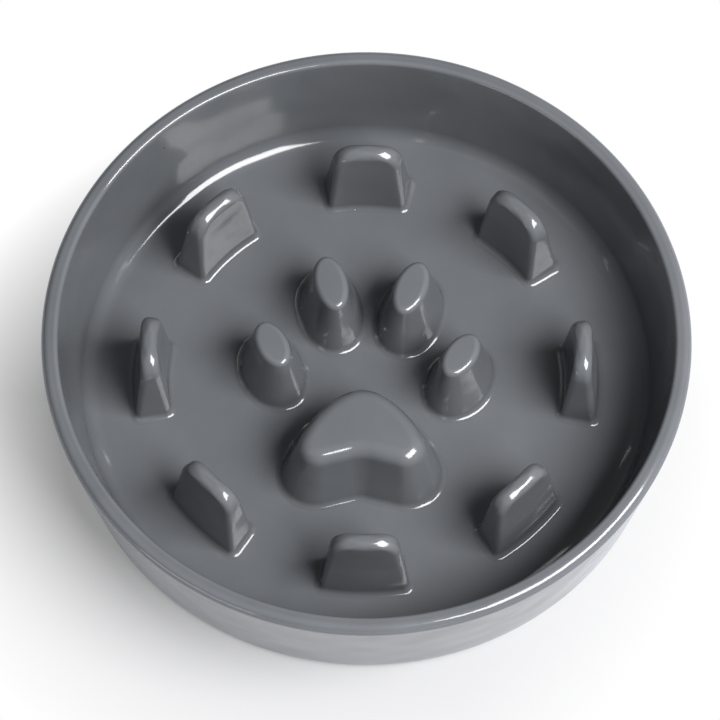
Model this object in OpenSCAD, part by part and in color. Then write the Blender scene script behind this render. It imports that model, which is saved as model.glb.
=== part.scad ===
// Slow feeder bowl: a glazed stoneware dish with eight fins and a raised paw print on its floor.
// The fins and pads are pressed pieces luted onto the flat floor. The dish stands on a bare clay foot.
// Millimetres. Z is up, the origin is the middle of the foot on the table, +X is the right of the bowl
// and -Y is the side that faces the dog.

/* [Bowl] */
// Height from the table to the top of the rim
bowl_h = 45; // [32:0.5:70]
// Thickness of the wall at its foot
wall_t = 5; // [3.5:0.1:10]
// How far the outside of the wall leans out from its foot to the rim
wall_lean = 7.5; // [0:0.1:20]
// Radius of the outer bottom edge
base_edge_r = 2; // [0.5:0.1:4]
// Thickness of the wall at the rim
rim_t = 5.2; // [3.5:0.1:9]
// Radius of the rounded outer edge of the rim
rim_outer_r = 2.6; // [1:0.1:4]
// Radius of the tighter inner edge of the rim
rim_inner_r = 1.5; // [0.5:0.1:3]

/* [Floor] */
// Height of the floor above the table
floor_z = 11.5; // [8:0.1:20]
// Width of the channel between a fin and the wall, at the floor
outer_channel_w = 14.9; // [8:0.1:30]
// Radius of the fillet between floor and wall
floor_fillet_r = 6.5; // [2:0.5:15]

/* [Foot] */
// Height of the bare clay foot under the glazed underside
foot_h = 2; // [1:0.1:4]
// Width of the foot
foot_w = 7.5; // [3:0.5:15]
// How far the foot stands in from the outer wall
foot_inset = 3.5; // [2.5:0.1:10]
// Radius of the rounded lower edges of the foot
foot_edge_r = 0.9; // [0.3:0.1:2]
// Depth of the hollow inside the foot, above the glazed underside
recess_depth = 2.5; // [1:0.1:5]
// How far the hollow stands in from the foot
recess_inset = 1.5; // [0.5:0.1:5]
// Width of the slope around the hollow
recess_slope_w = 4; // [1:0.5:10]

/* [Fins] */
// Height of a fin above the floor
fin_h = 28; // [12:0.5:45]
// Length of a fin at the floor, along the ring
fin_l = 26.2; // [14:0.2:40]
// Thickness of a fin at the floor
fin_t = 11.2; // [7:0.2:16]
// How much each side of a fin leans in from the floor to the top
fin_draft = 3; // [1:0.1:5]
// Radius of the shoulders of a fin
fin_shoulder_r = 7; // [3:0.2:12]
// Distance from the middle of the bowl to the middle of a fin
fin_ring_r = 67; // [50:0.5:100]
// Radius of the upright corners of a fin at the floor
fin_corner_r = 1.7; // [0.5:0.1:3]

/* [Paw print] */
// Height of the paw print above the floor
paw_h = 21; // [8:0.5:40]
// How much the side of a pad leans in from the floor to the top
paw_draft = 5.2; // [2:0.1:8]
// Radius of the rounded upper edge of a toe
toe_edge_r = 2.2; // [0.5:0.1:3]
// Radius of the softer upper edge of the main pad
pad_edge_r = 5; // [0.5:0.1:7]
// Turn of the four toes about the middle of the bowl
toe_turn = -3.2; // [-10:0.1:10]
// Width over the top of an inner toe
inner_toe_w = 9.6; // [5:0.2:16]
// Length over the top of an inner toe
inner_toe_l = 18.4; // [10:0.2:28]
// Distance of an inner toe from the middle line
inner_toe_x = 12.45; // [10:0.05:25]
// Distance of an inner toe behind the middle of the bowl
inner_toe_y = 23.6; // [15:0.1:35]
// Outward lean of an inner toe, in degrees
inner_toe_lean = 16.6; // [0:0.2:40]
// Width over the top of an outer toe
outer_toe_w = 9.3; // [5:0.1:16]
// Length over the top of an outer toe
outer_toe_l = 15.9; // [8:0.1:24]
// Distance of an outer toe from the middle line
outer_toe_x = 29.2; // [22:0.1:40]
// Distance of an outer toe behind the middle of the bowl
outer_toe_y = 1.3; // [-8:0.1:15]
// Outward lean of an outer toe, in degrees
outer_toe_lean = 28.8; // [0:0.2:60]
// How far the main pad sits to the left of the middle line
pad_x = 1.2; // [0:0.1:3]
// Distance of the heel of the main pad in front of the middle of the bowl
pad_y = 22.6; // [12:0.1:35]
// Radius of the heel of the main pad
pad_heel_r = 10.3; // [6:0.1:16]
// Radius of each lobe of the main pad
pad_lobe_r = 5.7; // [3:0.1:9]
// Distance of the middle of a lobe from the middle line of the pad
pad_lobe_x = 12.9; // [8:0.1:20]
// Distance of the middle of a lobe in front of the heel
pad_lobe_y = 8.3; // [5:0.1:16]
// Radius of the bulging flanks of the main pad
pad_flank_r = 32; // [25:0.5:80]
// Slope of the front edge from each lobe to the hollow between them, in degrees
pad_front_slope = 15; // [0:0.5:25]
// Radius of the hollow in the middle of the front edge
pad_hollow_r = 14; // [11:0.5:30]
// How much further out and to the front each lobe stands at the floor than at the top
pad_spread = 1.4; // [0:0.1:3]

/* [Roots] */
// Radius of the fillet where fins and pads meet the floor
root_r = 2.2; // [1:0.1:4]

/* [Hidden] */

glaze = [0.44, 0.46, 0.48];
bare_clay = [0.82, 0.77, 0.69];

// Steps of a full turn on the round bowl
round_fn = 180;
// Steps of a quarter turn on fillets and rounded edges
fillet_steps = 4;
// Steps of a quarter turn on the shoulders of a fin
shoulder_steps = 7;
// Steps of a quarter turn on the upright corners of a fin
corner_steps = 4;
// Steps along the curved long side of a fin
side_steps = 6;
// Steps around a toe
toe_steps = 36;
// Steps along each arc of the main pad
pad_steps = 6;

// The bowl is sized from the inside out: fins, channel, wall and lean give 200 mm over the rim
floor_r = fin_ring_r + fin_t / 2 + outer_channel_w;
base_r = floor_r + wall_t;
bowl_r = base_r + wall_lean;
// The crest of a fin is rounded over most of its thickness there
crest_share = 0.92;
crest_r = crest_share * (fin_t / 2 - fin_draft);
underside_z = foot_h;
recess_z = foot_h + recess_depth;

// Position of a point at the given distance and angle from a centre
function around(centre, distance, angle) =
    [centre[0] + distance * cos(angle), centre[1] + distance * sin(angle)];

// Centre of a circle of the given radius, tangent inside a corner. The corner lies at the point, its
// sides leave in the two directions and the circle touches both sides.
function corner_centre(corner, angle_a, angle_b, radius) =
    around(corner, radius / sin(abs(angle_b - angle_a) / 2), (angle_a + angle_b) / 2);

// Where that circle touches the side that leaves in the given direction
function touch_point(corner, angle_a, angle_b, angle_side, radius) =
    around(corner, radius / tan(abs(angle_b - angle_a) / 2), angle_side);

base_corner = [base_r, underside_z];
floor_corner = [floor_r, floor_z];
// Middles of the two rounded edges of the rim
rim_out = [bowl_r - rim_outer_r, bowl_h - rim_outer_r];
rim_in = [bowl_r - rim_t + rim_inner_r, bowl_h - rim_inner_r];

// Direction of the line from a point that touches a circle. The side is 1 for a circle on the right of
// the line and -1 for a circle on its left.
function tangent_angle(from, centre, radius, side) =
    atan2(centre[1] - from[1], centre[0] - from[0]) + side * asin(radius / norm(centre - from));

// Direction of the outer and of the inner wall, both upwards, each tangent to its edge of the rim
outer_angle = tangent_angle(base_corner, rim_out, rim_outer_r, -1);
inner_angle = tangent_angle(floor_corner, rim_in, rim_inner_r, 1);

// How deep a wall line ends inside the round edge that it touches, so that the two cross cleanly
weld = 0.002;

// Section of the wall, floor and underside, to the right of the axis
module shell_section() {
    base_edge = corner_centre(base_corner, outer_angle, 180, base_edge_r);
    fillet = corner_centre(floor_corner, inner_angle, 180, floor_fillet_r);
    recess_low = base_r - foot_inset - foot_w - recess_inset;
    difference() {
        union() {
            polygon([
                [0, recess_z],
                [recess_low - recess_slope_w, recess_z],
                [recess_low, underside_z],
                touch_point(base_corner, outer_angle, 180, 180, base_edge_r),
                touch_point(base_corner, outer_angle, 180, outer_angle, base_edge_r),
                around(rim_out, rim_outer_r - weld, outer_angle - 90),
                around(rim_out, rim_outer_r, 90),
                around(rim_in, rim_inner_r, 90),
                around(rim_in, rim_inner_r - weld, inner_angle + 90),
                touch_point(floor_corner, inner_angle, 180, inner_angle, floor_fillet_r),
                fillet,
                touch_point(floor_corner, inner_angle, 180, 180, floor_fillet_r),
                [0, floor_z]
            ]);
            translate(rim_out) circle(r = rim_outer_r, $fn = round_fn);
            translate(rim_in) circle(r = rim_inner_r, $fn = round_fn);
            translate(base_edge) circle(r = base_edge_r, $fn = round_fn);
        }
        translate(fillet) circle(r = floor_fillet_r, $fn = round_fn);
    }
}

module bowl_shell() {
    color(glaze) rotate_extrude($fn = round_fn) shell_section();
}

// Bare clay foot: a low ring with rounded lower edges under the flat rim of the underside
module foot_ring() {
    foot_outer = base_r - foot_inset;
    foot_inner = foot_outer - foot_w;
    color(bare_clay) rotate_extrude($fn = round_fn) union() {
        polygon([
            [foot_inner + foot_edge_r, 0],
            [foot_outer - foot_edge_r, 0],
            [foot_outer, foot_edge_r],
            [foot_outer, foot_h],
            [foot_inner, foot_h],
            [foot_inner, foot_edge_r]
        ]);
        translate([foot_outer - foot_edge_r, foot_edge_r]) circle(r = foot_edge_r, $fn = round_fn);
        translate([foot_inner + foot_edge_r, foot_edge_r]) circle(r = foot_edge_r, $fn = round_fn);
    }
}

// Middle of a ring of points
function middle(ring) = [for (axis = [0:2]) sum([for (p = ring) p[axis]]) / len(ring)];
function sum(values, i = 0) = i < len(values) ? values[i] + sum(values, i + 1) : 0;

// One closed solid from a stack of rings of points, lowest first, closed by a fan at each end
module ring_solid(rings) {
    count = len(rings[0]);
    levels = len(rings);
    low = count * levels;
    high = low + 1;
    corners = concat([for (ring = rings) each ring], [middle(rings[0]), middle(rings[levels - 1])]);
    sides = [for (j = [0:levels - 2]) for (i = [0:count - 1])
        let (k = (i + 1) % count, a = j * count + i, b = j * count + k)
        each [[a, a + count, b + count], [a, b + count, b]]];
    floor_fan = [for (i = [0:count - 1]) [low, i, (i + 1) % count]];
    top_fan = [for (i = [0:count - 1])
        [high, count * (levels - 1) + (i + 1) % count, count * (levels - 1) + i]];
    polyhedron(points = corners, faces = concat(sides, floor_fan, top_fan), convexity = 4);
}

// Levels of a leaning side with a fillet at the floor and a rounded top edge. Each level holds how far
// the side stands out from the outline of the top, its height, and how far the fillet or the edge takes
// it from the plain leaning side.
function side_levels(height, draft, edge_r) =
    let (lean = atan(draft / height), quarter = 90 - lean,
        reach = root_r * tan(quarter / 2), tuck = edge_r * tan(quarter / 2))
    concat(
        [for (i = [0:fillet_steps]) let (turn = quarter * i / fillet_steps, z = root_r * (1 - cos(turn)),
            out = draft + reach - root_r * sin(turn)) [out, z, out - draft * (1 - z / height)]],
        [for (i = [0:fillet_steps]) let (turn = lean + quarter * i / fillet_steps,
            z = height - edge_r * (1 - sin(turn)), out = edge_r * cos(turn) - tuck)
            [out, z, out - draft * (1 - z / height)]]
    );

// Outline of a toe: an ellipse with its own outward normal at each step, moved out by a distance
function toe_ring(width, length, out, z) =
    [for (i = [0:toe_steps - 1]) let (turn = 360 * i / toe_steps,
        slope = [cos(turn) / width, sin(turn) / length], size = norm(slope))
        [width / 2 * cos(turn) + out * slope[0] / size,
         length / 2 * sin(turn) + out * slope[1] / size, floor_z + z]];

// A toe: a leaning sided cone on an oval outline. The side is -1 on the left and 1 on the right.
module toe(side, width, length, x, y, lean) {
    color(glaze) rotate([0, 0, toe_turn]) translate([side * x, y, 0]) rotate([0, 0, -side * lean])
        ring_solid([for (level = side_levels(paw_h, paw_draft, toe_edge_r))
            toe_ring(width, length, level[0], level[1])]);
}

module toe_outer_left() {
    toe(-1, outer_toe_w, outer_toe_l, outer_toe_x, outer_toe_y, outer_toe_lean);
}

module toe_inner_left() {
    toe(-1, inner_toe_w, inner_toe_l, inner_toe_x, inner_toe_y, inner_toe_lean);
}

module toe_inner_right() {
    toe(1, inner_toe_w, inner_toe_l, inner_toe_x, inner_toe_y, inner_toe_lean);
}

module toe_outer_right() {
    toe(1, outer_toe_w, outer_toe_l, outer_toe_x, outer_toe_y, outer_toe_lean);
}

// Points of an arc, without its first point
function arc(centre, radius, from, to) =
    [for (i = [1:pad_steps]) around(centre, radius, from + (to - from) * i / pad_steps)];

// Right half of the main pad, from the middle of the heel to the middle of the front. The heel, the
// bulging flank, the lobe and the hollow are arcs, each tangent to the next, with a straight stretch
// between the lobe and the hollow.
function pad_half(out, spread) =
    let (heel = [0, 0], lobe = [pad_lobe_x + spread, -pad_lobe_y - spread],
        reach_heel = pad_flank_r - pad_heel_r, reach_lobe = pad_flank_r - pad_lobe_r,
        span = norm(lobe), bearing = atan2(lobe[1], lobe[0]),
        along = (pow(reach_heel, 2) - pow(reach_lobe, 2) + pow(span, 2)) / (2 * span),
        flank = around(heel, reach_heel, bearing - acos(along / reach_heel)),
        from_flank = atan2(-flank[1], -flank[0]),
        to_lobe = atan2(lobe[1] - flank[1], lobe[0] - flank[0]),
        both_r = pad_lobe_r + pad_hollow_r,
        straight_l = lobe[0] / cos(pad_front_slope) - both_r * tan(pad_front_slope),
        hollow = [0, lobe[1] + straight_l * sin(pad_front_slope) - both_r * cos(pad_front_slope)])
    concat(
        [[0, pad_heel_r + out]],
        arc(heel, pad_heel_r + out, 90, from_flank),
        arc(flank, pad_flank_r + out, from_flank, to_lobe),
        arc(lobe, pad_lobe_r + out, to_lobe, -90 - pad_front_slope),
        [around(hollow, pad_hollow_r - out, 90 - pad_front_slope)],
        arc(hollow, pad_hollow_r - out, 90 - pad_front_slope, 90)
    );

// Whole outline of the main pad, the left half mirrored from the right
function pad_ring(out, z, spread) =
    let (half = pad_half(out, spread), last = len(half) - 1)
    [for (i = [0:2 * last - 1]) let (p = i <= last ? half[i] : half[2 * last - i])
        [(i <= last ? -p[0] : p[0]) - pad_x, p[1] - pad_y, floor_z + z]];

module paw_main_pad() {
    color(glaze) ring_solid([for (level = side_levels(paw_h, paw_draft, pad_edge_r))
        pad_ring(level[0], level[1], pad_spread * (1 - level[1] / paw_h))]);
}

// One level of a fin: a rounded rectangle bent around the middle of the bowl. Near the top the ends
// follow the round shoulders, the long sides round over into the crest, and the corners stretch so
// that the shoulder keeps a rounded edge.
function fin_ring(z, flare, rise) =
    let (half_l = fin_l / 2 - fin_draft * z / fin_h + flare - fin_shoulder_r * (1 - cos(rise)),
        over = max(0, z - fin_h + crest_r),
        half_t = fin_t / 2 - fin_draft * z / fin_h + flare
            - (crest_r - sqrt(max(0, pow(crest_r, 2) - pow(over, 2)))),
        corner = fin_corner_r + (crest_r - fin_corner_r) * z / fin_h + flare,
        corner_t = min(corner, half_t),
        corner_l = min(corner / max(cos(rise), corner / half_l), half_l),
        flat_l = half_l - corner_l,
        flat_t = half_t - corner_t)
    [for (side = [0:3]) let (sign_l = side == 0 || side == 3 ? 1 : -1, sign_t = side < 2 ? 1 : -1)
        each concat(
            [for (i = [0:corner_steps]) let (turn = 90 * side + 90 * i / corner_steps)
                bend(sign_l * flat_l + corner_l * cos(turn), sign_t * flat_t + corner_t * sin(turn), z)],
            side % 2 == 0 ? [for (i = [1:side_steps - 1])
                bend(sign_l * flat_l * (1 - 2 * i / side_steps), sign_t * half_t, z)] : []
        )];

// A point of a fin, given clockwise along and outwards across its ring, bent around the bowl's middle
function bend(along, across, z) =
    let (turn = -along / fin_ring_r * 180 / PI)
    [(fin_ring_r + across) * cos(turn), (fin_ring_r + across) * sin(turn), floor_z + z];

// Levels of a fin: the fillet at the floor, then the straight side, then the shoulders. Each level
// holds its height, how far the fillet stands out there, and the angle reached on the shoulder.
function fin_levels() =
    let (start = fin_h - fin_shoulder_r, low = side_levels(fin_h, fin_draft, crest_r))
    concat(
        [for (i = [0:fillet_steps]) [low[i][1], max(0, low[i][2]), 0]],
        [for (i = [0:shoulder_steps]) let (rise = 90 * i / shoulder_steps)
            [start + fin_shoulder_r * sin(rise), 0, rise]]
    );

module fin(turn) {
    color(glaze) rotate([0, 0, turn])
        ring_solid([for (level = fin_levels()) fin_ring(level[0], level[1], level[2])]);
}

module fin_right() {
    fin(0);
}

module fin_back_right() {
    fin(45);
}

module fin_back() {
    fin(90);
}

module fin_back_left() {
    fin(135);
}

module fin_left() {
    fin(180);
}

module fin_front_left() {
    fin(225);
}

module fin_front() {
    fin(270);
}

module fin_front_right() {
    fin(315);
}

bowl_shell();
foot_ring();
fin_back();
fin_back_left();
fin_left();
fin_front_left();
fin_front();
fin_front_right();
fin_right();
fin_back_right();
toe_outer_left();
toe_inner_left();
toe_inner_right();
toe_outer_right();
paw_main_pad();
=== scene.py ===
import math

import bpy
import numpy as np
from mathutils import Matrix, Vector


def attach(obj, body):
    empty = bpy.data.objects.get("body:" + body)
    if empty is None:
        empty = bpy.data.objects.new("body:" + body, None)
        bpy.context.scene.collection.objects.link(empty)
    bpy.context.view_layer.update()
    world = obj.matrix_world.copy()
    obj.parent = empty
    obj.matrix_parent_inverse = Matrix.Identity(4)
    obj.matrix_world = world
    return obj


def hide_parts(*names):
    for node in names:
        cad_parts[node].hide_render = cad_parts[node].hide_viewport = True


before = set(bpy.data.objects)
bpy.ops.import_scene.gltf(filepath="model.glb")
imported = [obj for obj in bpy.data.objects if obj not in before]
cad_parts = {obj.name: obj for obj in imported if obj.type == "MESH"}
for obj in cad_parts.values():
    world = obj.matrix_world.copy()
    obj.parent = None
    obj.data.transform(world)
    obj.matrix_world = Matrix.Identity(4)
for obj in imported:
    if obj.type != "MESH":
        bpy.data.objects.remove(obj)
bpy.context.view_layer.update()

mm = 0.001

# Bowl shell
# The dish itself is stoneware: a flat floor, a leaning wall and a rounded rim, cast in one piece
# and dipped in a grey glaze that pools in hollows and thins over edges. It carries all the rest.
rim_radius = 100 * mm
rim_height = 45 * mm
wall_lean = 7.5 * mm
wall_at_foot = 5 * mm
wall_at_rim = 5.2 * mm
rim_outer_round = 2.6 * mm
rim_inner_round = 1.5 * mm
base_round = 2 * mm
floor_height = 11.5 * mm
floor_round = 6.5 * mm
foot_height = 2 * mm
foot_width = 7.5 * mm
foot_inset = 3.5 * mm
recess_depth = 2.5 * mm
recess_inset = 1.5 * mm
recess_slope = 4 * mm
recess_round = 1.2 * mm
middle_disc = 0.5 * mm
base_radius = rim_radius - wall_lean
floor_radius = base_radius - wall_at_foot

places_round_bowl = 360
recess_round_steps = 6
base_round_steps = 12
rim_outer_steps = 24
rim_inner_steps = 18
floor_round_steps = 24
recess_roof_steps = 12
floor_steps = 24
between_rounds_steps = (2, 8, 16, 4, 16)
crease_angle = 50

glaze_dark = (0.140, 0.149, 0.162, 1)
glaze_pale = (0.162, 0.171, 0.184, 1)
pinhole_colour = (0.05, 0.055, 0.06, 1)
glaze_ior = 1.65
waves_per_metre = 45
wave_height = 0.9 * mm
pinholes_per_metre = 38
pinhole_depth = 0.1 * mm
ripple_share = 1.8
ripples_end = 72 * mm
walls_begin = 80 * mm


def around(centre, distance, angle):
    """The point at a distance and an angle, in degrees, from a centre in the plane."""
    turn = np.radians(angle)
    return np.stack((centre[0] + distance * np.cos(turn), centre[1] + distance * np.sin(turn)), -1)


def arc(centre, radius, start, end, steps):
    """Points on a circle from one angle to another, evenly turned, both ends included."""
    return around(centre, radius, np.linspace(start, end, steps + 1))


def straight(start, end, steps):
    """Evenly spaced points between two points, without the two ends."""
    share = np.linspace(0, 1, steps + 1)[1:-1, None]
    return np.asarray(start) * (1 - share) + np.asarray(end) * share


def tangent_angle(start, centre, radius, side):
    """Direction of the line from a point that touches a circle: towards the circle's middle, turned
    by the angle whose sine is radius over distance. Side is 1 or -1, for the two such lines."""
    across, up = centre[0] - start[0], centre[1] - start[1]
    return math.degrees(math.atan2(up, across) + side * math.asin(radius / math.hypot(across, up)))


def corner_round(corner, angle_a, angle_b, radius):
    """Middle of a circle that touches the two lines which leave a corner at two angles. It lies on
    the line that halves the corner, at the radius over the sine of half the corner's angle."""
    return around(corner, radius / math.sin(math.radians(abs(angle_b - angle_a) / 2)),
                  (angle_a + angle_b) / 2)


def shell_profile():
    """Half section of the shell as (distance from the axis, height): from the middle of the
    underside out over the base edge, up the wall, over the rim and down to the middle of the
    floor. Lines run between rounds that are tangent to both their lines."""
    base_corner = (base_radius, foot_height)
    floor_corner = (floor_radius, floor_height)
    rim_out = (rim_radius - rim_outer_round, rim_height - rim_outer_round)
    rim_in = (rim_radius - wall_at_rim + rim_inner_round, rim_height - rim_inner_round)
    outside = tangent_angle(base_corner, rim_out, rim_outer_round, -1)
    inside = tangent_angle(floor_corner, rim_in, rim_inner_round, 1)
    base_middle = corner_round(base_corner, outside, 180, base_round)
    floor_middle = corner_round(floor_corner, inside, 180, floor_round)
    low = (base_radius - foot_inset - foot_width - recess_inset, foot_height)
    high = (low[0] - recess_slope, foot_height + recess_depth)
    slope = math.degrees(math.atan2(-recess_depth, recess_slope))
    high_middle = corner_round(high, 180, 360 + slope, recess_round)
    low_middle = corner_round(low, 0, 180 + slope, recess_round)
    middle_low = (middle_disc, high[1])
    middle_high = (middle_disc, floor_height)
    rounds = [
        arc(high_middle, recess_round, 90, 90 + slope, recess_round_steps),
        arc(low_middle, recess_round, 270 + slope, 270, recess_round_steps),
        arc(base_middle, base_round, 270, outside + 270, base_round_steps),
        arc(rim_out, rim_outer_round, outside - 90, 90, rim_outer_steps),
        arc(rim_in, rim_inner_round, 90, inside + 90, rim_inner_steps),
        arc(floor_middle, floor_round, inside - 90, -90, floor_round_steps),
    ]
    chain = [np.array([middle_low]), straight(middle_low, rounds[0][0], recess_roof_steps)]
    for bend, following, steps in zip(rounds, rounds[1:], between_rounds_steps):
        chain += [bend, straight(bend[-1], following[0], steps)]
    chain += [rounds[-1], straight(rounds[-1][-1], middle_high, floor_steps)]
    return np.concatenate(chain + [np.array([middle_high])])


def lathe(profile, places):
    """The profile turned about the upright axis: each of its points becomes a ring of evenly
    turned places."""
    turn = np.linspace(0, 2 * np.pi, places, endpoint=False)
    out, up = profile[:, 0, None], profile[:, 1, None]
    return np.stack((out * np.cos(turn), out * np.sin(turn), up + 0 * turn), -1)


def ring_curve(points, axis, shortest=1e-9):
    """How a grid of points curves along one of its two ways: the change of the unit step from one
    point to the next, divided by the length of the steps on both sides."""
    before = points - np.roll(points, 1, axis)
    after = np.roll(points, -1, axis) - points
    length_before = np.maximum(np.linalg.norm(before, axis=-1, keepdims=True), shortest)
    length_after = np.maximum(np.linalg.norm(after, axis=-1, keepdims=True), shortest)
    return 2 * (after / length_after - before / length_before) / (length_before + length_after)


def ring_normals(rings, shortest=1e-12):
    """Outward normals of a stack of rings: the cross product of the way along the ring and the way
    from ring to ring, made one long."""
    along = np.roll(rings, -1, 1) - np.roll(rings, 1, 1)
    normal = np.cross(along, np.gradient(rings, axis=0))
    return normal / np.maximum(np.linalg.norm(normal, axis=-1, keepdims=True), shortest)


def glaze_pool(rings, normal, round_of_one=2.2 * mm, passes=3):
    """Where the wet glaze gathers: the curve of the surface along its outward normal, 1 in a hollow
    of the given radius and -1 over an edge of that radius, smoothed over a few neighbours."""
    curve = ring_curve(rings, 0)
    curve[[0, -1]] = 0
    curve = curve + ring_curve(rings, 1)
    pool = np.clip((curve * normal).sum(-1) * round_of_one, -1, 1)
    for _ in range(passes):
        pool[1:-1] = (pool[:-2] + 2 * pool[1:-1] + pool[2:]) / 4
        pool = (np.roll(pool, 1, 1) + 2 * pool + np.roll(pool, -1, 1)) / 4
    return pool


def piece_from(name, corners, faces, material):
    """A smooth piece in the scene from corners and faces, with creases where faces meet sharply."""
    mesh = bpy.data.meshes.new(name)
    mesh.from_pydata(corners, [], faces)
    mesh.shade_smooth()
    mesh.set_sharp_from_angle(angle=math.radians(crease_angle))
    mesh.materials.append(material)
    piece = bpy.data.objects.new(name, mesh)
    bpy.context.scene.collection.objects.link(piece)
    return piece


def closed_surface(name, rings, material):
    """A closed piece from a stack of rings of points: quads join each ring to the next, and a fan
    of triangles around its middle closes the first and the last ring. Each point keeps where the
    glaze pools, and how level the surface is: the height of its unit normal. The fans' middles
    lie flat, without a pool."""
    levels, places = rings.shape[:2]
    corners = np.vstack((rings.reshape(-1, 3), rings[0].mean(0), rings[-1].mean(0)))
    index = np.arange(levels * places).reshape(levels, places)
    following = np.roll(index, -1, axis=1)
    quads = np.stack((index[:-1], following[:-1], following[1:], index[1:]), -1).reshape(-1, 4)
    first_fan = np.stack((following[0], index[0], np.full(places, levels * places)), -1)
    last_fan = np.stack((index[-1], following[-1], np.full(places, levels * places + 1)), -1)
    piece = piece_from(name, corners, quads.tolist() + first_fan.tolist() + last_fan.tolist(),
                       material)
    normal = ring_normals(rings)
    for label, grid, in_middle in (("pool", glaze_pool(rings, normal), 0),
                                   ("level", abs(normal[..., 2]), 1)):
        values = np.append(grid.ravel(), (in_middle, in_middle)).astype(np.float32)
        piece.data.attributes.new(label, "FLOAT", "POINT").data.foreach_set("value", values)
    return piece


def feed(tree, entry, value):
    """Link an input to an output of another node, or set it to a plain value."""
    if isinstance(value, bpy.types.NodeSocket):
        tree.links.new(value, entry)
    else:
        entry.default_value = value


def node(tree, kind, *values, **settings):
    """A new node. The values go to its inputs in their order, and a setting goes to its property or
    its input of that name. A value can be an output of another node."""
    made = tree.nodes.new(kind)
    inputs = list(enumerate(values))
    for name, value in settings.items():
        if hasattr(made, name):
            setattr(made, name, value)
        else:
            inputs.append((name.replace("_", " "), value))
    for which, value in inputs:
        feed(tree, made.inputs[which], value)
    return made


def speckle_group():
    """Fine unevenness that both the glaze and the bare clay show: slow patches and small grains
    made from noise, put out as one value around 0.5, and as a height."""
    group = bpy.data.node_groups.new("fired_surface", "ShaderNodeTree")
    for name, value in (("Patch Size", 0.02), ("Grain Size", 0.002), ("Grain Share", 0.3)):
        entry = group.interface.new_socket(name, in_out="INPUT", socket_type="NodeSocketFloat")
        entry.default_value = value
    for name in ("Tone", "Height"):
        group.interface.new_socket(name, in_out="OUTPUT", socket_type="NodeSocketFloat")
    given = group.nodes.new("NodeGroupInput")
    place = node(group, "ShaderNodeTexCoord")
    noises = {}
    for name in ("Patch Size", "Grain Size"):
        scale = node(group, "ShaderNodeMath", 1, given.outputs[name], operation="DIVIDE")
        noises[name] = node(group, "ShaderNodeTexNoise", Vector=place.outputs["Object"],
                            Scale=scale.outputs["Value"], Detail=3, Roughness=0.5)
    patches, grains = noises["Patch Size"].outputs["Fac"], noises["Grain Size"].outputs["Fac"]
    mix = node(group, "ShaderNodeMix", data_type="FLOAT",
               Factor=given.outputs["Grain Share"], A=patches, B=grains)
    node(group, "NodeGroupOutput", Tone=mix.outputs["Result"], Height=grains)
    return group


fired_surface = speckle_group()


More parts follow.
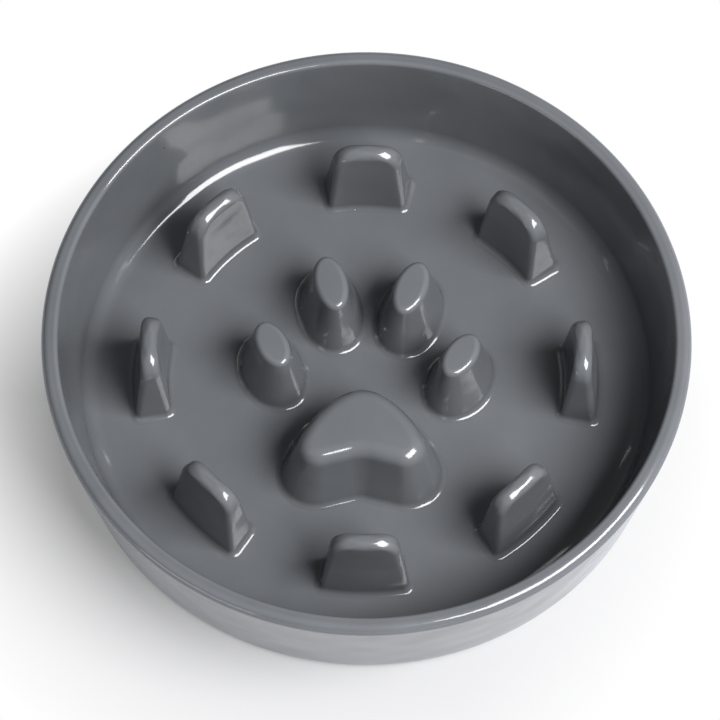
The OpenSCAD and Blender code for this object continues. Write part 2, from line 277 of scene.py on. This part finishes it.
def make_glaze():
    """Grey gloss glaze: a little darker where it pools and paler where it thins over an edge, with
    faint patches and a few pinholes from the firing. Over that its colour is painted darker the
    more upright a surface stands, as painted shade on the sides, and painted paler the higher a
    surface stands above the floor, as painted light on the tops. The surface is gently wavy, in
    closer ripples up the sides of the fins and pads than elsewhere."""
    material = bpy.data.materials.new("grey_gloss_glaze")
    material.use_nodes = True
    tree = material.node_tree
    shader = tree.nodes["Principled BSDF"]
    shader.inputs["IOR"].default_value = glaze_ior
    place = node(tree, "ShaderNodeTexCoord")
    parts = node(tree, "ShaderNodeSeparateXYZ", place.outputs["Object"])
    above_floor = node(tree, "ShaderNodeMath", parts.outputs["Z"], floor_height,
                       operation="SUBTRACT")
    surface = node(tree, "ShaderNodeGroup", node_tree=fired_surface,
                   Patch_Size=0.03, Grain_Size=0.0012, Grain_Share=0.15)

    tone = node(tree, "ShaderNodeValToRGB", surface.outputs["Tone"])
    dark, pale = tone.color_ramp.elements
    dark.position, dark.color = 0.3, glaze_dark
    pale.position, pale.color = 0.7, glaze_pale
    pool = node(tree, "ShaderNodeAttribute", attribute_name="pool")
    depth = node(tree, "ShaderNodeMapRange", Value=pool.outputs["Fac"],
                 From_Min=-1, From_Max=1, To_Min=1.12, To_Max=0.88)
    # Painted shade: the more upright a surface stands, the darker its colour is painted, down to
    # 0.7 of it where it stands nearly upright.
    level = node(tree, "ShaderNodeAttribute", attribute_name="level")
    painted_side_shade = node(tree, "ShaderNodeMapRange", Value=level.outputs["Fac"],
                 From_Min=0.2, From_Max=0.9, To_Min=0.7, To_Max=1)
    # Painted light: the colour is painted paler with the height above the floor, from 0.97 of it on
    # the floor to 1.06 of it from 20 mm up.
    painted_light_up_high = node(tree, "ShaderNodeMapRange", Value=above_floor.outputs["Value"],
                From_Max=0.02, To_Min=0.97, To_Max=1.06)
    both = node(tree, "ShaderNodeMath", depth.outputs["Result"], painted_side_shade.outputs["Result"],
                operation="MULTIPLY")
    share = node(tree, "ShaderNodeMath", both.outputs["Value"], painted_light_up_high.outputs["Result"],
                 operation="MULTIPLY")
    shade = node(tree, "ShaderNodeVectorMath", tone.outputs["Color"], operation="SCALE",
                 Scale=share.outputs["Value"])

    pinhole = node(tree, "ShaderNodeTexVoronoi", feature="F1", Vector=place.outputs["Object"],
                   Scale=pinholes_per_metre, Randomness=1)
    dimple = node(tree, "ShaderNodeMapRange", interpolation_type="SMOOTHSTEP",
                  Value=pinhole.outputs["Distance"], From_Min=0.008, From_Max=0.02)
    pit = node(tree, "ShaderNodeMix", data_type="RGBA", Factor=dimple.outputs["Result"],
               A=pinhole_colour, B=shade.outputs["Vector"])
    feed(tree, shader.inputs["Base Color"], pit.outputs["Result"])
    gloss = node(tree, "ShaderNodeMapRange", Value=surface.outputs["Tone"],
                 From_Min=0.3, From_Max=0.7, To_Min=0.10, To_Max=0.14)
    feed(tree, shader.inputs["Roughness"], gloss.outputs["Result"])

    flat = node(tree, "ShaderNodeCombineXYZ", X=parts.outputs["X"], Y=parts.outputs["Y"])
    from_axis = node(tree, "ShaderNodeVectorMath", flat.outputs["Vector"], operation="LENGTH")
    closer = node(tree, "ShaderNodeMapRange", Value=from_axis.outputs["Value"],
                  From_Min=ripples_end, From_Max=walls_begin, To_Min=ripple_share, To_Max=1)
    stretched = node(tree, "ShaderNodeMath", above_floor.outputs["Value"],
                     closer.outputs["Result"], operation="MULTIPLY")
    ripple = node(tree, "ShaderNodeCombineXYZ", X=parts.outputs["X"], Y=parts.outputs["Y"],
                  Z=stretched.outputs["Value"])
    waves = node(tree, "ShaderNodeTexNoise", Vector=ripple.outputs["Vector"],
                 Scale=waves_per_metre, Detail=1)
    wavy = node(tree, "ShaderNodeBump", Strength=1, Distance=wave_height,
                Height=waves.outputs["Fac"])
    pitted = node(tree, "ShaderNodeBump", Strength=1, Distance=pinhole_depth,
                  Height=dimple.outputs["Result"], Normal=wavy.outputs["Normal"])
    feed(tree, shader.inputs["Normal"], pitted.outputs["Normal"])
    return material


glaze = make_glaze()
shell = closed_surface("glazed_shell", lathe(shell_profile(), places_round_bowl), glaze)
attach(shell, "root")
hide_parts("bowl_shell")

# Foot ring
# The glaze is wiped off the ring that the bowl stands on, so that it does not stick to the kiln
# shelf. It shows the bare buff clay, matt and slightly sandy, with softly rounded lower edges.
foot_round = 0.9 * mm
foot_round_steps = 10
foot_flat_steps = 8
foot_side_steps = 2

clay_dark = (0.50, 0.42, 0.32, 1)
clay_pale = (0.66, 0.58, 0.47, 1)
clay_ior = 1.4
clay_grain_height = 0.1 * mm


def foot_profile():
    """Half section of the foot as (distance from the axis, height): a closed loop that starts at
    the middle of its top and runs inwards, down, out along the table and up again."""
    outer = base_radius - foot_inset
    inner = outer - foot_width
    inner_low = (inner + foot_round, foot_round)
    outer_low = (outer - foot_round, foot_round)
    return np.concatenate([
        straight((outer, foot_height), (inner, foot_height), foot_flat_steps),
        np.array([(inner, foot_height)]),
        straight((inner, foot_height), (inner, foot_round), foot_side_steps),
        arc(inner_low, foot_round, 180, 270, foot_round_steps),
        straight((inner_low[0], 0), (outer_low[0], 0), foot_flat_steps),
        arc(outer_low, foot_round, 270, 360, foot_round_steps),
        straight((outer, foot_round), (outer, foot_height), foot_side_steps),
        np.array([(outer, foot_height)]),
    ])


def closed_ring(name, rings, material):
    """A closed tube from rings of points: quads join each ring to the next, and the last to the
    first, so that it needs no ends."""
    levels, places = rings.shape[:2]
    index = np.arange(levels * places).reshape(levels, places)
    following, above = np.roll(index, -1, axis=1), np.roll(index, -1, axis=0)
    above_following = np.roll(above, -1, axis=1)
    quads = np.stack((index, following, above_following, above), -1).reshape(-1, 4)
    return piece_from(name, rings.reshape(-1, 3), quads.tolist(), material)


def make_bare_clay():
    """Unglazed buff stoneware: matt, finely sandy, with faint darker patches from the kiln."""
    material = bpy.data.materials.new("bare_buff_clay")
    material.use_nodes = True
    tree = material.node_tree
    shader = tree.nodes["Principled BSDF"]
    shader.inputs["IOR"].default_value = clay_ior
    surface = node(tree, "ShaderNodeGroup", node_tree=fired_surface,
                   Patch_Size=0.018, Grain_Size=0.0005, Grain_Share=0.5)
    tone = node(tree, "ShaderNodeValToRGB", surface.outputs["Tone"])
    dark, pale = tone.color_ramp.elements
    dark.position, dark.color = 0.35, clay_dark
    pale.position, pale.color = 0.65, clay_pale
    feed(tree, shader.inputs["Base Color"], tone.outputs["Color"])
    rough = node(tree, "ShaderNodeMapRange", Value=surface.outputs["Tone"],
                 To_Min=0.75, To_Max=0.9)
    feed(tree, shader.inputs["Roughness"], rough.outputs["Result"])
    bump = node(tree, "ShaderNodeBump", Strength=0.6, Distance=clay_grain_height,
                Height=surface.outputs["Height"])
    feed(tree, shader.inputs["Normal"], bump.outputs["Normal"])
    return material


bare_clay = make_bare_clay()
foot = closed_ring("bare_foot", lathe(foot_profile(), places_round_bowl), bare_clay)
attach(foot, "root")
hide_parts("foot_ring")

# Fins
# Eight pressed tongues of clay stand in a ring on the floor, luted on with slip and glazed with the
# bowl. Each is bent round the bowl's middle, leans in on all sides and has round shoulders.
fin_height = 28 * mm
fin_length = 26.2 * mm
fin_thickness = 11.2 * mm
fin_draft = 3 * mm
fin_shoulder = 7 * mm
fin_ring_radius = 67 * mm
fin_corner = 1.7 * mm
fin_crest_share = 0.92
fin_crest_round = fin_crest_share * (fin_thickness / 2 - fin_draft)
fin_corner_limit = 0.92
fin_level_gap = 0.5 * mm
root_round = 2.2 * mm


def side_levels(height, draft, edge_round, steps_round=14, steps_side=10):
    """Levels of a leaning side, from the floor up: the fillet at the floor, the straight side and
    the rounded top edge. Each row holds how far the side stands out from the top's outline, the
    height above the floor, and how far the fillet or edge takes it from the plain leaning side."""
    lean = math.atan(draft / height)
    quarter = math.pi / 2 - lean
    reach = root_round * math.tan(quarter / 2)
    tuck = edge_round * math.tan(quarter / 2)
    turn = np.linspace(0, quarter, steps_round + 1)
    root = np.stack((draft + reach - root_round * np.sin(turn),
                     root_round * (1 - np.cos(turn))), -1)
    edge = np.stack((edge_round * np.cos(lean + turn) - tuck,
                     height - edge_round * (1 - np.sin(lean + turn))), -1)
    rows = np.concatenate((root, straight(root[-1], edge[0], steps_side), edge))
    return np.column_stack((rows, rows[:, 0] - draft * (1 - rows[:, 1] / height)))


def fin_surface(turn_degrees, corner_steps=10, side_steps=24, shoulder_steps=24):
    """A fin as a stack of levels. Each level is a rounded rectangle, long along the ring. With the
    height its half length shrinks by the draft and, on the shoulders, by the round's radius times
    one less the cosine of the angle reached; its half thickness shrinks by the draft and the round
    crest, and its corners open out to the crest's round, but never take up a whole side. The
    rectangle is then bent round the middle of the bowl and turned into place."""
    low = side_levels(fin_height, fin_draft, fin_crest_round)
    start = fin_height - fin_shoulder
    low = low[low[:, 1] < start - fin_level_gap]
    rise = np.linspace(0, np.pi / 2, shoulder_steps + 1)
    height = np.concatenate((low[:, 1], start + fin_shoulder * np.sin(rise)))
    flare = np.concatenate((np.maximum(low[:, 2], 0), 0 * rise))
    rise = np.concatenate((0 * low[:, 1], rise))
    leaned = fin_draft * height / fin_height - flare
    half_long = fin_length / 2 - leaned - fin_shoulder * (1 - np.cos(rise))
    over = np.maximum(height - fin_height + fin_crest_round, 0)
    half_thick = (fin_thickness / 2 - leaned
                  - (fin_crest_round - np.sqrt(fin_crest_round ** 2 - over ** 2)))
    corner = fin_corner + (fin_crest_round - fin_corner) * height / fin_height + flare
    corner_thick = np.minimum(corner, fin_corner_limit * half_thick)
    corner_long = corner / np.maximum(np.cos(rise), corner / (fin_corner_limit * half_long))
    flat_long, flat_thick = half_long - corner_long, half_thick - corner_thick
    sides = []
    for side in range(4):
        sign_long = 1 if side in (0, 3) else -1
        sign_thick = 1 if side < 2 else -1
        turn = np.radians(90 * side + np.linspace(0, 90, corner_steps + 1))
        sides.append(np.stack((
            sign_long * flat_long[:, None] + corner_long[:, None] * np.cos(turn),
            sign_thick * flat_thick[:, None] + corner_thick[:, None] * np.sin(turn)), -1))
        if side % 2 == 0:
            share = np.linspace(1, -1, side_steps + 1)[1:-1]
            sides.append(np.stack((sign_long * flat_long[:, None] * share,
                                   sign_thick * half_thick[:, None] + 0 * share), -1))
    flat = np.concatenate(sides, axis=1)
    turn = np.radians(turn_degrees) - flat[..., 0] / fin_ring_radius
    out = fin_ring_radius + flat[..., 1]
    up = floor_height + height[:, None] + 0 * turn
    return np.stack((out * np.cos(turn), out * np.sin(turn), up), -1)


fins = ("fin_right", "fin_back_right", "fin_back", "fin_back_left",
        "fin_left", "fin_front_left", "fin_front", "fin_front_right")
for place, cad_name in enumerate(fins):
    fin = closed_surface("glazed_" + cad_name, fin_surface(place * 360 / len(fins)), glaze)
    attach(fin, "root")
    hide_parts(cad_name)

# Toes of the paw print
# Four oval pads of clay, flat on top, with sides that lean in from the floor. They are luted on in
# an arc behind the main pad, each turned a little outwards, and the group sits slightly askew.
paw_height = 21 * mm
paw_draft = 5.2 * mm
toe_edge_round = 2.2 * mm
toes_turn = -3.2
toe_places = 96
toe_sizes = {
    "inner": {"width": 9.6 * mm, "length": 18.4 * mm, "across": 12.45 * mm, "behind": 23.6 * mm,
              "lean": 16.6},
    "outer": {"width": 9.3 * mm, "length": 15.9 * mm, "across": 29.2 * mm, "behind": 1.3 * mm,
              "lean": 28.8},
}


def rotate(points, degrees):
    """Points in the plane turned about its origin, against the clock."""
    turn = math.radians(degrees)
    x, y = points[..., 0], points[..., 1]
    return np.stack((x * math.cos(turn) - y * math.sin(turn),
                     x * math.sin(turn) + y * math.cos(turn)), -1)


def toe_surface(side, width, length, across, behind, lean):
    """A toe as a stack of ovals. The top is an ellipse; each lower level is that ellipse moved out
    along its own normals, by the draft and the fillet. It is then leaned, placed and turned."""
    levels = side_levels(paw_height, paw_draft, toe_edge_round)
    turn = np.linspace(0, 2 * np.pi, toe_places, endpoint=False)
    oval = np.stack((width / 2 * np.cos(turn), length / 2 * np.sin(turn)), -1)
    normal = np.stack((np.cos(turn) / width, np.sin(turn) / length), -1)
    normal /= np.linalg.norm(normal, axis=-1, keepdims=True)
    flat = oval + levels[:, 0, None, None] * normal
    leaned = rotate(flat, -side * lean) + np.array((side * across, behind))
    placed = rotate(leaned, toes_turn)
    height = floor_height + levels[:, 1, None] + 0 * turn
    return np.concatenate((placed, height[..., None]), -1)


for which, sizes in toe_sizes.items():
    for side, word in ((-1, "left"), (1, "right")):
        toe = closed_surface(f"glazed_toe_{which}_{word}", toe_surface(side, **sizes), glaze)
        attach(toe, "root")
        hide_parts(f"toe_{which}_{word}")

# Main pad of the paw print
# One larger pad with a round heel towards the toes, bulging flanks, two lobes and a hollow between
# them in front. It is pressed, luted on and glazed like the toes, and as high as they are.
pad_to_left = 1.2 * mm
pad_in_front = 22.6 * mm
heel_round = 10.3 * mm
lobe_round = 5.7 * mm
lobe_across = 12.9 * mm
lobe_in_front = 8.3 * mm
flank_round = 32 * mm
hollow_round = 14 * mm
front_slope = 15
lobe_spread = 1.4 * mm
pad_edge_round = 5 * mm
pad_arc_steps = 20
pad_hollow_steps = 16
pad_straight_steps = 8


def pad_outline(out, spread):
    """Half outline of the pad, from the middle of the heel to the middle of the front edge, moved
    out by a distance. Arcs follow each other, each tangent to the next: the heel, the flank, the
    lobe and, after a straight stretch, the hollow in the middle. The flank's middle lies at the
    crossing of two circles, one round the heel's middle and one round the lobe's, whose radii are
    the differences of the rounds."""
    heel = np.zeros(2)
    lobe = np.array((lobe_across + spread, -lobe_in_front - spread))
    to_heel, to_lobe = flank_round - heel_round, flank_round - lobe_round
    apart = np.linalg.norm(lobe)
    bearing = math.degrees(math.atan2(lobe[1], lobe[0]))
    along = (to_heel ** 2 - to_lobe ** 2 + apart ** 2) / (2 * apart)
    flank = around(heel, to_heel, bearing - math.degrees(math.acos(along / to_heel)))
    heel_end = math.degrees(math.atan2(-flank[1], -flank[0]))
    flank_end = math.degrees(math.atan2(lobe[1] - flank[1], lobe[0] - flank[0]))
    slope = math.radians(front_slope)
    middles_apart = lobe_round + hollow_round
    straight_length = lobe[0] / math.cos(slope) - middles_apart * math.tan(slope)
    hollow = (0, lobe[1] + straight_length * math.sin(slope) - middles_apart * math.cos(slope))
    lobe_arc = arc(lobe, lobe_round + out, flank_end, -90 - front_slope, pad_arc_steps)
    hollow_arc = arc(hollow, hollow_round - out, 90 - front_slope, 90, pad_hollow_steps)
    return np.concatenate([
        arc(heel, heel_round + out, 90, heel_end, pad_arc_steps),
        arc(flank, flank_round + out, heel_end, flank_end, pad_arc_steps)[1:],
        lobe_arc[1:],
        straight(lobe_arc[-1], hollow_arc[0], pad_straight_steps),
        hollow_arc,
    ])


def pad_surface():
    """The pad as a stack of outlines, moved out by the draft and the fillet towards the floor. The
    right half is mirrored to the left, and the whole runs against the clock."""
    rings = []
    for out, height, _ in side_levels(paw_height, paw_draft, pad_edge_round):
        half = pad_outline(out, lobe_spread * (1 - height / paw_height))
        mirrored = half * (-1, 1)
        ring = np.concatenate((mirrored, half[-2:0:-1])) - (pad_to_left, pad_in_front)
        rings.append(np.column_stack((ring, np.full(len(ring), floor_height + height))))
    return np.array(rings)


pad = closed_surface("glazed_main_pad", pad_surface(), glaze)
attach(pad, "root")
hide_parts("paw_main_pad")

# Table and light
# A white table that takes the bowl's soft shadow, with painted light and shade on it for the
# camera, under the soft light of a studio: a wide box high in front on the right, a dim panel
# high on the left, a low fill on the left and a pale room. The lamps are given as the direction
# from the bowl, width, height and power in watts.
table_size = 4.0
table_white = (0.85, 0.85, 0.86, 1)
# Painted shade: the colour the camera sees the table in, darker than the one that lights the bowl.
table_shaded_to_camera = (0.61, 0.61, 0.63, 1)
# The colour of the table's painted white glow as it shows in reflections.
table_in_reflections = (0.80, 0.825, 0.90, 1)
pure_white = (1, 1, 1, 1)
lamp_distance = 1.6
lamps = {
    "main_box": ((0.539, -0.324, 0.777), 1.25, 0.75, 40),
    "left_panel": ((-0.569, -0.285, 0.772), 1.0, 1.0, 0.6),
    "left_fill": ((-0.7, -0.7, 0.09), 0.9, 0.22, 2.6),
}
room_colour = (0.97, 0.98, 1, 1)
room_strength = 0.095


def make_table_white():
    """White table top, lit like any matt surface. For the camera and in reflections a painted white
    glow is mixed into it: a quarter of it beside the bowl and all of it farther out, sooner at the
    back and on the right. This painted light lightens the bowl's shadow and hides it away from the
    bowl, so that only the soft shadow beside the bowl stays. In reflections the glow is tinted
    bluish. The camera sees the table's own colour darker than the colour it lights the bowl with,
    which is painted shade."""
    material = bpy.data.materials.new("white_table")
    material.use_nodes = True
    tree = material.node_tree
    path = node(tree, "ShaderNodeLightPath")
    to_camera = path.outputs["Is Camera Ray"]
    matt = node(tree, "ShaderNodeMix", data_type="RGBA", Factor=to_camera,
                A=table_white, B=table_shaded_to_camera)
    shader = tree.nodes["Principled BSDF"]
    shader.inputs["Roughness"].default_value = 0.9
    shader.inputs["Specular IOR Level"].default_value = 0.0
    feed(tree, shader.inputs["Base Color"], matt.outputs["Result"])

    # Painted light: a white glow mixed in for the camera and for reflections, a quarter of it
    # beside the bowl and all of it farther out, sooner at the back and on the right.
    place = node(tree, "ShaderNodeTexCoord")
    away = node(tree, "ShaderNodeVectorMath", place.outputs["Object"], operation="LENGTH")
    parts = node(tree, "ShaderNodeSeparateXYZ", place.outputs["Object"])
    far = node(tree, "ShaderNodeMapRange", Value=away.outputs["Value"],
               From_Min=0.097, From_Max=0.150, To_Min=0.25)
    behind = node(tree, "ShaderNodeMapRange", Value=parts.outputs["Y"], From_Max=0.2)
    right = node(tree, "ShaderNodeMapRange", Value=parts.outputs["X"],
                 From_Min=0.03, From_Max=0.17)
    painted_glow_side = node(tree, "ShaderNodeMath", behind.outputs["Result"], right.outputs["Result"],
                    operation="ADD")
    fade = node(tree, "ShaderNodeMath", far.outputs["Result"], painted_glow_side.outputs["Value"],
                operation="ADD", use_clamp=True)
    seen = node(tree, "ShaderNodeMath", to_camera, path.outputs["Is Glossy Ray"],
                operation="MAXIMUM")
    share = node(tree, "ShaderNodeMath", fade.outputs["Value"], seen.outputs["Value"],
                 operation="MULTIPLY")
    tint = node(tree, "ShaderNodeMix", data_type="RGBA", Factor=to_camera,
                A=table_in_reflections, B=pure_white)
    white = node(tree, "ShaderNodeEmission", Color=tint.outputs["Result"], Strength=1)
    mix = node(tree, "ShaderNodeMixShader", share.outputs["Value"], shader.outputs["BSDF"],
               white.outputs["Emission"])
    feed(tree, tree.nodes["Material Output"].inputs["Surface"], mix.outputs["Shader"])
    return material


def flat_sheet(name, half, material):
    """A square sheet at the table's height, centred on the bowl."""
    mesh = bpy.data.meshes.new(name)
    corners = [(-half, -half, 0), (half, -half, 0), (half, half, 0), (-half, half, 0)]
    mesh.from_pydata(corners, [], [(0, 1, 2, 3)])
    mesh.materials.append(material)
    sheet = bpy.data.objects.new(name, mesh)
    bpy.context.scene.collection.objects.link(sheet)
    return sheet


table = flat_sheet("table_top", table_size / 2, make_table_white())


def soft_box(name, direction, width, height, watts):
    """A soft box at the lamps' distance from the bowl in a direction, turned to face it."""
    lamp = bpy.data.lights.new(name, "AREA")
    lamp.shape = "RECTANGLE"
    lamp.size = width
    lamp.size_y = height
    lamp.energy = watts
    holder = bpy.data.objects.new(name, lamp)
    back = Vector(direction).normalized()
    holder.matrix_world = (Matrix.Translation(back * lamp_distance)
                           @ back.to_track_quat("Z", "Y").to_matrix().to_4x4())
    bpy.context.scene.collection.objects.link(holder)


for name, settings in lamps.items():
    soft_box(name, *settings)

world = bpy.data.worlds.new("pale_room")
bpy.context.scene.world = world
world.use_nodes = True
room = world.node_tree.nodes["Background"]
room.inputs["Color"].default_value = room_colour
room.inputs["Strength"].default_value = room_strength

# Camera
# A long lens looks down on the front of the bowl from well above, as in the photo, so that the
# floor and the paw print show and the near wall still does.
camera_height_angle = 63.7
camera_roll = 0.47
camera_distance = 1900 * mm
looks_at = (-1.92 * mm, 7.51 * mm, floor_height)
lens = bpy.data.cameras.new("long_lens")
lens.lens = 303.9
lens.sensor_width = 36
lens.clip_end = 20
camera = bpy.data.objects.new("camera", lens)
tilt = math.radians(90 - camera_height_angle)
turned = Matrix.Rotation(tilt, 4, "X") @ Matrix.Rotation(math.radians(camera_roll), 4, "Z")
camera.matrix_world = (Matrix.Translation(looks_at) @ turned
                       @ Matrix.Translation((0, 0, camera_distance)))
bpy.context.scene.collection.objects.link(camera)
bpy.context.scene.camera = camera
bpy.context.scene.view_settings.view_transform = "Standard"
